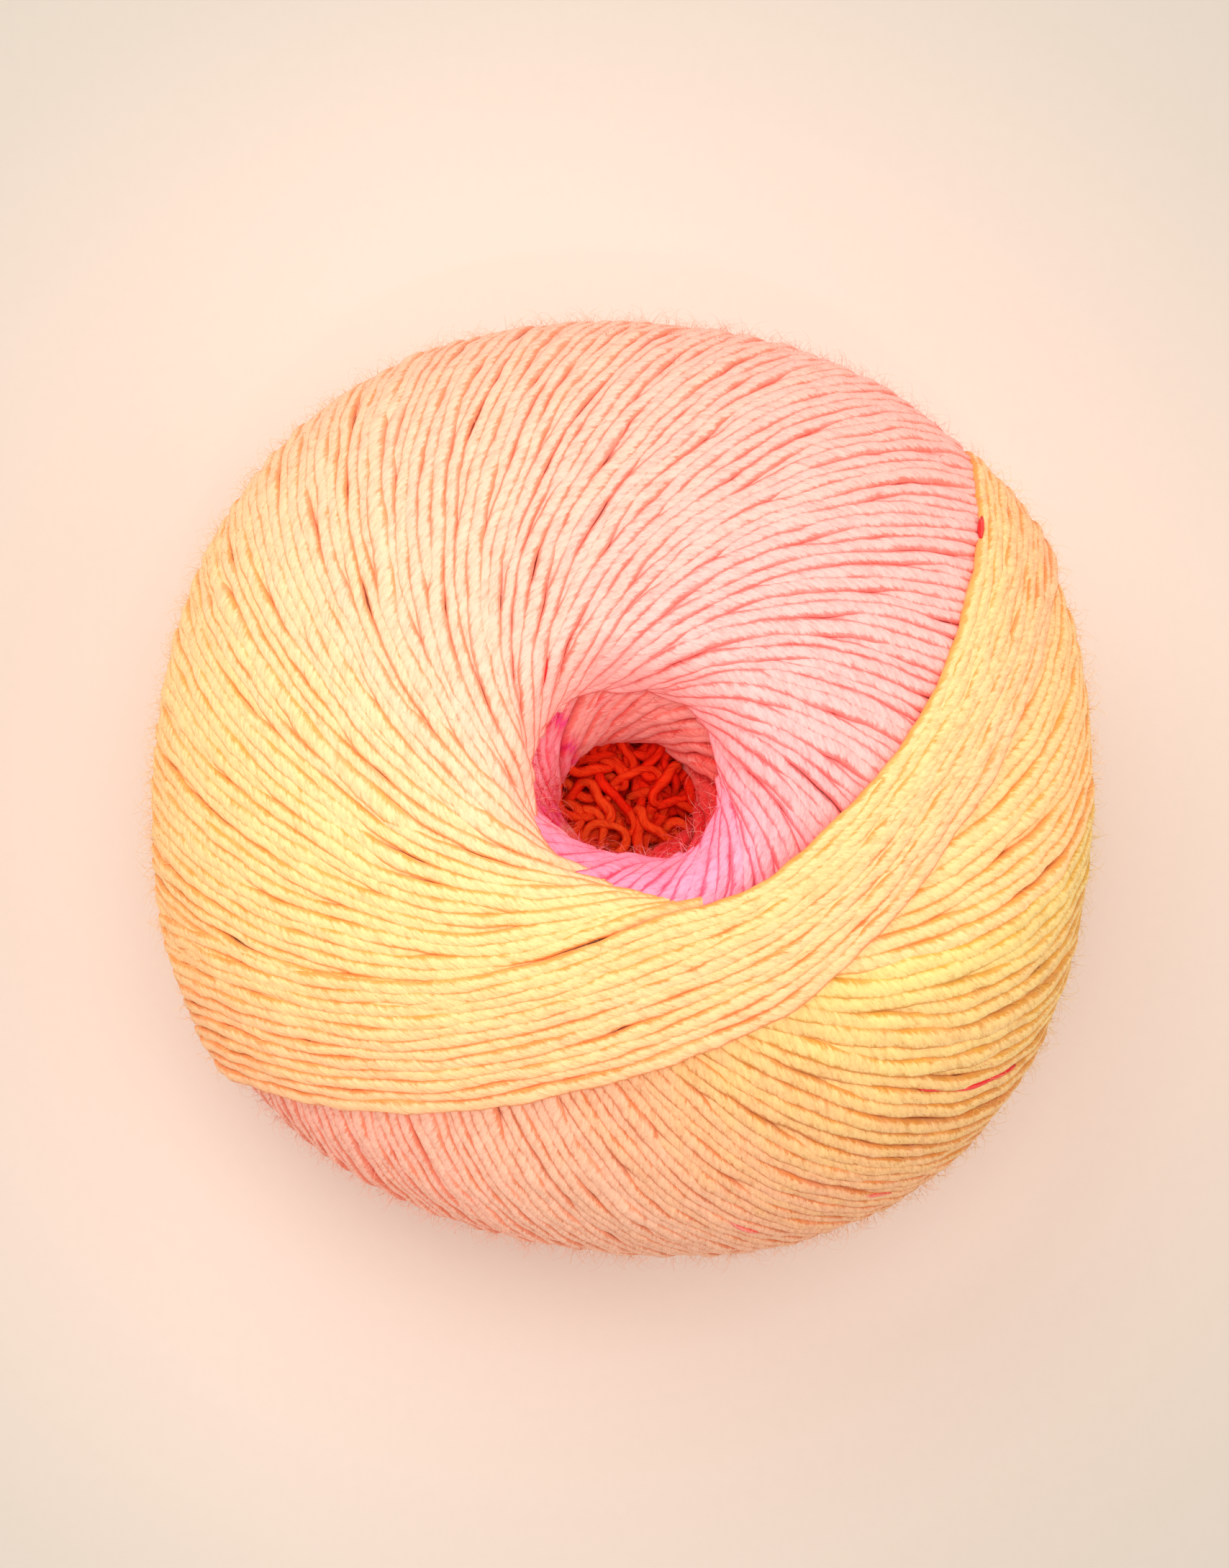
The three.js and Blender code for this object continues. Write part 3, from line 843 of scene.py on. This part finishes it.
wall_points, wall_facing, wall_dye_and_light = [], [], []
for count, z_top, z_low, behind, age_top, age_low in WALL_LAYERS:
    start = np.arange(count) * 360 / count + rng.uniform(-2, 2, count)
    t = np.linspace(0, 1, WALL_ROWS)[None]
    z = (z_top + (z_low - z_top) * t + rng.uniform(-0.4, 0.4, (count, 1))) * MM
    azimuth = start[:, None] + (WALL_SLANT + rng.uniform(-12, 12, (count, 1))) * t
    turn = np.radians(azimuth)
    flare = well_flare(z)
    mouth = mouth_radius(azimuth) + BEHIND_MOUTH
    reach = [semi + behind * MM + (mouth - semi) * flare for semi in WELL_SEMI_AXES]
    middle = [m * (1 - np.clip(flare, 0, 1)) for m in WELL_MIDDLE]
    x = middle[0] + reach[0] * np.cos(turn)
    y = middle[1] + reach[1] * np.sin(turn)
    wall_points.append(np.stack([x, y, z], -1))
    wall_facing.append(np.stack([-np.cos(turn), -np.sin(turn), 0.3 + 0 * turn], -1))
    # Partly painted light and shade: the wall's dye is paler on the lit far side and redder on the shaded
    # sides and further down
    wall_age_and_light = np.interp(azimuth % 360, WALL_AGE_TURN, WALL_AGE_AND_LIGHT) + age_top + (age_low - age_top) * t**1.5
    wall_dye_and_light.append(wall_age_and_light / DYE_LENGTH)
wall_points = np.concatenate(wall_points)
wall_facing = np.concatenate(wall_facing)
wall_dye_and_light = np.concatenate(wall_dye_and_light)[..., None]
wall_radii = YARN_RADIUS * (1 + 0.08 * rng.standard_normal((len(wall_points), 1)))
piece = yarn_mesh("well_wall", wall_points, wall_facing, wall_radii, wall_dye_and_light, seed=9)
dress(piece, WOOL, "inner_yarn", "wound_ball")


# The tangled start
# The first metres of the wool came off the spindle with the ball, and lie crumpled in the bottom of the
# well in small springy curls, with painted light: rust-orange where the light reaches them and red
# underneath.

CURLS = 84
CURL_ROWS = 40
CURL_RADIUS = 0.56 * MM
ROUND_RING = tuple(range(-180, 180, 45))
TANGLE_MIDDLE = (0.8 * MM, -2.0 * MM)
TANGLE_SEMI_AXES = (8.7 * MM, 7.5 * MM)
TANGLE_LOW, TANGLE_RISE = 58.0 * MM, 4.0 * MM
# The curls keep between these heights, and inside this share of the tangle's width
TANGLE_FLOOR, TANGLE_ROOF, TANGLE_FULL = 54 * MM, 63 * MM, 0.97
# Age of the reddest curls, how much more the rustiest have, and where they lie, in radians. The rustier dye
# is painted light on the higher curls and those towards that side, and the lower curls stay red as painted
# shade
REDDEST, LIT_RUST_MORE, LIT_RUST_SIDE = 512, 72, -2.1
GOLDEN_ANGLE = 2.39996
curl_points, curl_age_and_light = [], []
for i in range(CURLS):
    turn = i * GOLDEN_ANGLE
    spread = 0.95 * math.sqrt((i + 0.5) / CURLS)
    upper = (i * 23) % CURLS / CURLS
    across = (math.cos(turn), math.sin(turn))
    spot = [TANGLE_MIDDLE[k] + TANGLE_SEMI_AXES[k] * spread * across[k] for k in (0, 1)]
    middle = np.array(spot + [TANGLE_LOW + TANGLE_RISE * upper])
    size = rng.uniform(1.4, 3.0) * MM
    t = np.linspace(0, 1, CURL_ROWS)
    angle = rng.uniform(0, 6.28) + t * rng.uniform(3.6, 6.2)
    swell = 1 + 0.5 * (t - 0.5)
    dive = -2.6 * MM * np.abs(2 * t - 1) ** 4
    flat = rng.uniform(0.4, 0.8)
    local = np.stack([size * swell * np.cos(angle), size * flat * swell * np.sin(angle), dive], -1)
    tilt = Matrix.Rotation(rng.uniform(0, 6.28), 3, "Z") @ Matrix.Rotation(rng.uniform(0.0, 0.8), 3, "X")
    curl_points.append(local @ np.array(tilt).T + middle)
    # Painted light: higher curls and those towards the lit side are dyed rustier, and the rest stay red
    lit_rust_share = 0.5 + 0.5 * spread * math.cos(turn - LIT_RUST_SIDE)
    curl_age_and_light.append(REDDEST + LIT_RUST_MORE * min(1, 0.5 * upper + 0.5 * lit_rust_share))
curl_points = np.stack(curl_points)
curl_facing = np.broadcast_to([0.05, 0.02, 1.0], curl_points.shape)
away = [(curl_points[..., k] - TANGLE_MIDDLE[k]) / TANGLE_SEMI_AXES[k] for k in (0, 1)]
pull = np.minimum(1, TANGLE_FULL / np.maximum(np.hypot(*away), 1e-6))
for k in (0, 1):
    curl_points[..., k] = TANGLE_MIDDLE[k] + away[k] * pull * TANGLE_SEMI_AXES[k]
curl_points[..., 2] = np.clip(curl_points[..., 2], TANGLE_FLOOR, TANGLE_ROOF)
curl_dye_and_light = np.array(curl_age_and_light)[:, None, None] / DYE_LENGTH + np.zeros((CURLS, CURL_ROWS, 1))
piece = yarn_mesh("tangled_curls", curl_points, curl_facing, CURL_RADIUS, curl_dye_and_light, ROUND_RING, 1.0, 1.0,
                  wander=0.1 * MM, heave=0.12 * MM, kink=0.3 * MM, slub=0.14, seed=3)
RUST_WOOL = yarn_material("rust_wool", 1.4, painted_hollow_shade=0.7, contrast=1.1, relief=0.42 * MM, fuzz=0.0)
dress(piece, RUST_WOOL, "inner_yarn", "tangled_start")
laid.append((curl_points, curl_facing, np.array(curl_age_and_light) / DYE_LENGTH))


# The fuzz
# Loose wool fibres stand a millimetre or two off every strand. They blur the outline and cross the
# well's rim, where the rubbing of the spindle raised them.

FIBRE_RING = (-180, -60, 60)
FIBRE_ROWS = 5


def fuzz_mesh(name, roots, facing, dye, length, thickness, seed, stand=1.0):
    """Fine curved hairs, three-sided and tapering, each from its root outwards and off to one side."""
    local = np.random.default_rng(seed)
    count = len(roots)
    sway = local.standard_normal((count, 3))
    sway -= (sway * facing).sum(1, keepdims=True) * facing
    sway /= np.linalg.norm(sway, axis=1, keepdims=True)
    curl = np.cross(facing, sway) * local.uniform(-1.1, 1.1, (count, 1))
    size = length * local.uniform(0.4, 1.3, (count, 1))
    rise = local.uniform(0.2, 1.0, (count, 1))
    t = np.linspace(0, 1, FIBRE_ROWS)[None, :, None]
    path = roots[:, None] + (facing * size * rise * stand)[:, None] * (t - 0.45 * t**2)
    path = path + (sway * size)[:, None] * (0.55 * t + 0.35 * t**2) + (curl * size)[:, None] * 0.7 * t**2
    path[..., 2] = np.maximum(path[..., 2], thickness * 1.2)
    taper = thickness * (1 - 0.7 * np.linspace(0, 1, FIBRE_ROWS))[None] + np.zeros((count, 1))
    out = np.broadcast_to(facing[:, None], path.shape)
    return yarn_mesh(name, path, out, taper, dye, FIBRE_RING, 1.0, 1.0, wander=0.0, heave=0.0, kink=0.0,
                     slub=0.0, seed=seed)


def fuzz_material():
    """Single wool fibres, in the dye's tone."""
    material, tree = new_material("wool_fibre")
    colour = dyed(tree, attribute(tree, "strand_seed"), 0.06)
    surface(tree, Base_Color=colour, Roughness=0.7, Specular_IOR_Level=0.2)
    return material


FIBRE = fuzz_material()
YARN_BALL, TANGLE = ("wound_yarn", "wound_ball"), ("inner_yarn", "tangled_start")
# Name, which of the laid families it stands on, how many hairs, the least share of the radius, length in
# millimetres, and its slot and node
FUZZ_PARTS = (
    ("fuzz_rising_new", 0, 4600, 0.2, 1.7, YARN_BALL),
    ("fuzz_rising_old", 1, 2200, 0.2, 1.7, YARN_BALL),
    ("fuzz_falling", 3, 4600, 0.5, 1.7, YARN_BALL),
    ("fuzz_last_wrap", 4, 900, 0.0, 1.7, YARN_BALL),
    ("fuzz_tangle", 5, 700, 0.0, 1.1, TANGLE),
)
HAIR_RADIUS = 0.023 * MM
# Round the outline every hair is drawn, and elsewhere one in four. Under this height none shows
HAIRY_FROM, DRAWN_ELSEWHERE, LOWEST_ROOT = 0.9, 0.25, 8 * MM
for name, family, count, least, length, belongs in FUZZ_PARTS:
    points, facing, tone = laid[family]
    tried = 3 * count
    strand = rng.integers(0, len(points), tried)
    row = rng.integers(0, points.shape[1], tried)
    roots, out = points[strand, row], facing[strand, row]
    reach = np.hypot(roots[:, 0], roots[:, 1]) / MEAN_RADIUS
    drawn = (reach > HAIRY_FROM) | (rng.uniform(0, 1, tried) < DRAWN_ELSEWHERE) | (least == 0.0)
    keep = np.flatnonzero(drawn & (reach > least) & (roots[:, 2] > LOWEST_ROOT))[:count]
    roots, out, strand = roots[keep], out[keep], strand[keep]
    roots = roots + out * 0.5 * YARN_RADIUS
    piece = fuzz_mesh(name, roots, out, tone[strand], length * MM, HAIR_RADIUS, 17, stand=2.0)
    dress(piece, FIBRE, *belongs)

RIM_FIBRES = 1700
RIM_HAIR_LENGTH, RIM_HAIR_RADIUS = 2.1 * MM, 0.036 * MM
RIM_RADIUS, RIM_OVERLAP = 7.7 * MM, 7.2 * MM
# Age of the fibres by how deep they stand, from the rim down: paler at the rim and red deeper down,
# partly the yarn's own colours and partly painted light and shade
RIM_AGES_AND_LIGHT = ((0, 0.15, 0.35, 1), (258, 330, 450, 470))
# Most of them stand on the lower left and the right of the mouth
crowded = rng.uniform(0, 1, RIM_FIBRES) < 0.7
azimuth = np.where(crowded, rng.uniform(165, 385, RIM_FIBRES), rng.uniform(0, 360, RIM_FIBRES))
deep = rng.uniform(0, 1, RIM_FIBRES) ** 3
turn = np.radians(azimuth)
z = (78.5 - 13 * deep) * MM
radius = RIM_RADIUS + (mouth_radius(azimuth) - RIM_OVERLAP) * well_flare(z)
cx, cy = well_centre(z)
roots = np.stack([cx + radius * np.cos(turn), cy + radius * np.sin(turn), z], -1)
out = np.stack([-np.cos(turn), -np.sin(turn), 0.35 + 0 * turn], -1)
out /= np.linalg.norm(out, axis=1, keepdims=True)
# Partly painted light and shade: fibres are paler at the rim and redder deeper down
rim_age_and_light = np.interp(deep, *RIM_AGES_AND_LIGHT) + rng.uniform(-15, 15, RIM_FIBRES)
piece = fuzz_mesh("fuzz_rim", roots, out, rim_age_and_light / DYE_LENGTH, RIM_HAIR_LENGTH, RIM_HAIR_RADIUS, 23,
                  stand=1.8)
dress(piece, FIBRE, "inner_yarn", "wound_ball")


# The turns underneath
# Under the ball the last turns of both ways of winding part from each other, and older ones of the same
# wool show between them. Only their lower ends are laid, from a little under the equator on.

FIRST_ROW_UNDER = ROWS_ABOVE + 3
rising_points, rising_facing, rising_age = rising_turns(OLD_FROM, TURNS, 1.0)
for name, points, facing, tone in (
    ("falling_underneath", *falling_turns(FALLING_TURNS, TURNS)),
    ("rising_underneath", rising_points, rising_facing, rising_age / DYE_LENGTH),
):
    points, facing = points[:, FIRST_ROW_UNDER:], facing[:, FIRST_ROW_UNDER:]
    piece = yarn_mesh(name, points, facing, YARN_RADIUS, tone, seed=51)
    dress(piece, WOOL, "wound_yarn", "wound_ball")


# The floor
# A sheet of plain matte paper, pale peach, with painted light: a little paler and warmer round the ball,
# where the ball's own shade falls, and darker towards the edges. It is only the stage, and no part of the
# object.

FLOOR_HALF_WIDTH = 2.2
# Painted light: the paper is paler near the ball and darker further off
PAPER_NEAR, PAPER_FAR = linear(228, 208, 196), linear(191, 183, 172)
NEAR_ENDS, FAR_STARTS = 0.04, 0.14

bm = bmesh.new()
bmesh.ops.create_grid(bm, x_segments=1, y_segments=1, size=FLOOR_HALF_WIDTH)
floor_mesh = bpy.data.meshes.new("floor")
bm.to_mesh(floor_mesh)
bm.free()
floor = new_object("floor", floor_mesh)
paper, tree = new_material("peach_paper")
place = node(tree, "ShaderNodeTexCoord").outputs["Object"]
away = node(tree, "ShaderNodeVectorMath", _0=place)
away.operation = "LENGTH"
spread = node(tree, "ShaderNodeMapRange", Value=away.outputs["Value"], From_Min=NEAR_ENDS,
              From_Max=FAR_STARTS)
spread.interpolation_type = "SMOOTHSTEP"
tone = mix_colour(tree, spread.outputs[0], PAPER_NEAR, PAPER_FAR)
level = math_node(tree, "MULTIPLY_ADD", noise(tree, place, 600.0, 3.0), 0.03, 0.985)
tone = node(tree, "ShaderNodeHueSaturation", Color=tone, Value=level)
surface(tree, Base_Color=tone.outputs[0], Roughness=0.9, Specular_IOR_Level=0.1)
floor_mesh.materials.append(paper)


# The light
# A large soft window from the upper left, weaker soft lights from the lower left, the right and above, a
# pin spot for the well, and a warm, bright room all round.

BALL_AIM, WELL_AIM = Vector((0, 0, 0.03)), Vector((0, 0.004, 0.068))


def hang_light(lamp, place, aim):
    """Hangs a lamp at a place and turns it towards what it lights."""
    lit = new_object(lamp.name, lamp)
    lit.location = place
    lit.rotation_euler = (aim - Vector(place)).to_track_quat("-Z", "Y").to_euler()


def soft_light(name, place, size, power, colour):
    lamp = bpy.data.lights.new(name, "AREA")
    lamp.shape = "DISK"
    lamp.size = size
    lamp.energy = power
    lamp.color = colour
    hang_light(lamp, place, BALL_AIM)


soft_light("window", (-0.45, 0.60, 0.95), 0.9, 6.0, (1.0, 0.99, 0.97))
soft_light("fill", (-0.65, -0.50, 0.70), 1.0, 2.0, (1.0, 0.95, 0.90))
soft_light("bounce", (0.80, -0.05, 0.80), 1.0, 3.5, (1.0, 0.95, 0.92))
soft_light("overhead", (0.03, 0.06, 1.10), 0.4, 3.2, (1.0, 0.97, 0.93))
# The pin spot shines past the near side of the rim and down on the far side of the well
pin = bpy.data.lights.new("pin", "SPOT")
pin.energy = 24.0
pin.color = (1.0, 0.95, 0.92)
pin.spot_size = math.radians(2.6)
pin.spot_blend = 1.0
pin.shadow_soft_size = 0.05
hang_light(pin, (0.02, -0.32, 1.05), WELL_AIM)
world = bpy.data.worlds.new("studio")
world.use_nodes = True
world.node_tree.nodes["Background"].inputs[0].default_value = (1.0, 0.95, 0.90, 1)
world.node_tree.nodes["Background"].inputs[1].default_value = 0.735
bpy.context.scene.world = world
bpy.context.scene.view_settings.view_transform = "Standard"


# The camera
# It looks down on the ball from almost straight above, a little from the front and the left, so that the
# ball lies in the frame as it does in the photograph.

PHOTO_WIDTH, PHOTO_HEIGHT = 1708, 2180
BALL_MIDDLE_PX = (858, 1100)
# The ball's real width, and how wide it is in the photograph's own pixels
REAL_WIDTH, WIDTH_PX = 110.0 * MM, 1305
METRES_PER_PX = REAL_WIDTH / WIDTH_PX
LENS, SENSOR = 100.0, 36.0
TILT_X, TILT_Y = math.radians(2.1), math.radians(3.5)
distance = LENS / SENSOR * PHOTO_HEIGHT * METRES_PER_PX
towards = Vector((-math.sin(TILT_X), -math.sin(TILT_Y), 1)).normalized()
camera_data = bpy.data.cameras.new("camera")
camera_data.lens = LENS
camera_data.sensor_width = SENSOR
camera_data.clip_start = 0.01
camera = new_object("camera", camera_data)
off_x = (PHOTO_WIDTH / 2 - BALL_MIDDLE_PX[0]) * METRES_PER_PX
off_y = -(PHOTO_HEIGHT / 2 - BALL_MIDDLE_PX[1]) * METRES_PER_PX
look_at = Vector((off_x, off_y, EQUATOR))
camera.location = look_at + towards * distance
right_way = Vector((0, 1, 0)).cross(towards).normalized()
up_way = towards.cross(right_way)
camera.rotation_euler = Matrix((right_way, up_way, towards)).transposed().to_euler()
bpy.context.scene.camera = camera
